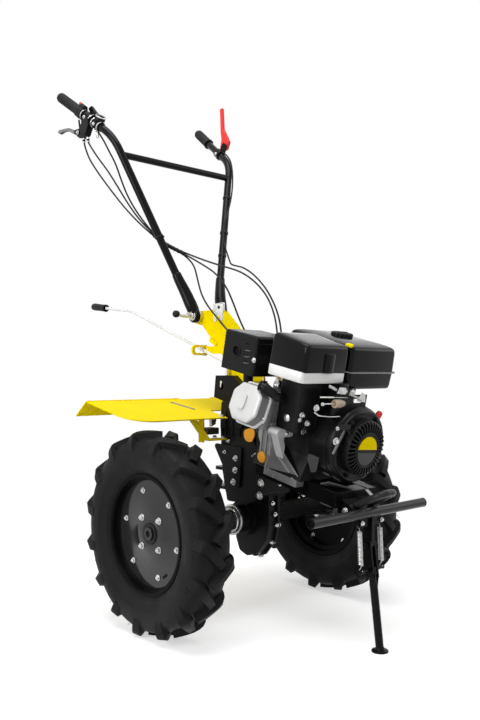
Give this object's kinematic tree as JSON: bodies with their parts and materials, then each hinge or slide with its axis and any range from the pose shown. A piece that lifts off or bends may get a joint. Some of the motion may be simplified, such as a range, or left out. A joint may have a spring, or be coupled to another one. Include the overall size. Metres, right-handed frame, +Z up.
{
  "type": "walking tractor",
  "caption": "Two-wheel walking tractor with a petrol engine over its gearbox, lugged tyres, a raised tilting handlebar, a front bumper bar and a folding front stand.",
  "frame": {"origin": "centre of the footprint, on the floor", "axes": "+Z up, the machine drives towards -Y, its right side is -X"},
  "size_m": [0.82, 1.3305, 1.7096],
  "materials": {
    "bright_steel": "zinc plated steel",
    "cable_black": "black sleeve",
    "engine_black": "black satin cover",
    "engine_casting": "bare die casting",
    "frame_black": "black powder coat",
    "gearbox_casting": "black painted casting",
    "grip_rubber": "black rubber",
    "red_plastic": "red plastic",
    "silver_trim": "silver trim",
    "tank_black": "black gloss tank",
    "tyre": "black ribbed farm tyre",
    "valve_cover": "silver painted cover",
    "wheel_paint": "satin black paint",
    "yellow_paint": "yellow gloss paint"
  },
  "bodies": {
    "chassis": {"air_cleaner": "engine_black", "air_cleaner_base": "silver_trim", "bearing_caps": "bright_steel", "bracket_base": "frame_black", "bumper_bar": "frame_black", "bumper_bracket": "frame_black", "bumper_loop": "frame_black", "cables_lower": "cable_black", "carburettor": "engine_casting", "clutch_housing": "gearbox_casting", "crankcase": "engine_casting", "cylinder": "engine_casting", "cylinder_shroud": "engine_black", "engine_frame": "frame_black", "exhaust_pipe": "frame_black", "fan_housing": "engine_black", "fender_braces": "yellow_paint", "fender_left": "yellow_paint", "fender_right": "yellow_paint", "fuel_cap": "tank_black", "fuel_tank": "tank_black", "gear_lever": "bright_steel", "gear_lever_grip": "grip_rubber", "gearbox_case": "gearbox_casting", "handle_bracket": "yellow_paint", "muffler_guard": "engine_black", "pivot_clamps": "bright_steel", "rear_hitch": "frame_black", "recoil_cover": "engine_black", "shift_guide": "yellow_paint", "side_plates": "frame_black", "spark_plug_cap": "engine_black", "stand_bracket": "frame_black", "stand_springs": "bright_steel", "tank_brackets": "frame_black", "throttle_plate": "engine_black", "valve_cover": "valve_cover"},
    "wheel_right": {"tyre_right": "tyre", "rim_right": "wheel_paint", "hub_right": "wheel_paint"},
    "wheel_left": {"tyre_left": "tyre", "rim_left": "wheel_paint", "hub_left": "wheel_paint"},
    "front_stand": {"stand_leg": "frame_black"},
    "handlebar": {"cable_wrap": "cable_black", "cables_upper": "cable_black", "clamp_lever": "grip_rubber", "clutch_lever": "frame_black", "control_brackets": "frame_black", "grips": "grip_rubber", "handle_crossbar": "frame_black", "handle_left": "frame_black", "handle_right": "frame_black", "handle_sleeves": "frame_black", "pivot_bolt": "bright_steel", "safety_lever": "red_plastic", "switch_housing": "grip_rubber", "throttle_control": "frame_black"}
  },
  "joints": [
    {"name": "wheel_right_spin", "type": "hinge", "parent": "chassis", "child": "wheel_right", "pos_m": [-0.35, -0.1355, 0.278], "axis": [1, 0, 0], "continuous": true},
    {"name": "wheel_left_spin", "type": "hinge", "parent": "chassis", "child": "wheel_left", "pos_m": [0.35, -0.1355, 0.278], "axis": [1, 0, 0], "continuous": true},
    {"name": "stand_fold", "type": "hinge", "parent": "chassis", "child": "front_stand", "pos_m": [0, -0.5905, 0.268], "axis": [1, 0, 0], "range_deg": [0, 95], "deforming": ["stand_springs"]},
    {"name": "handlebar_tilt", "type": "hinge", "parent": "chassis", "child": "handlebar", "pos_m": [0, 0.0545, 0.894], "axis": [-1, 0, 0], "range_deg": [0, 45]}
  ]
}
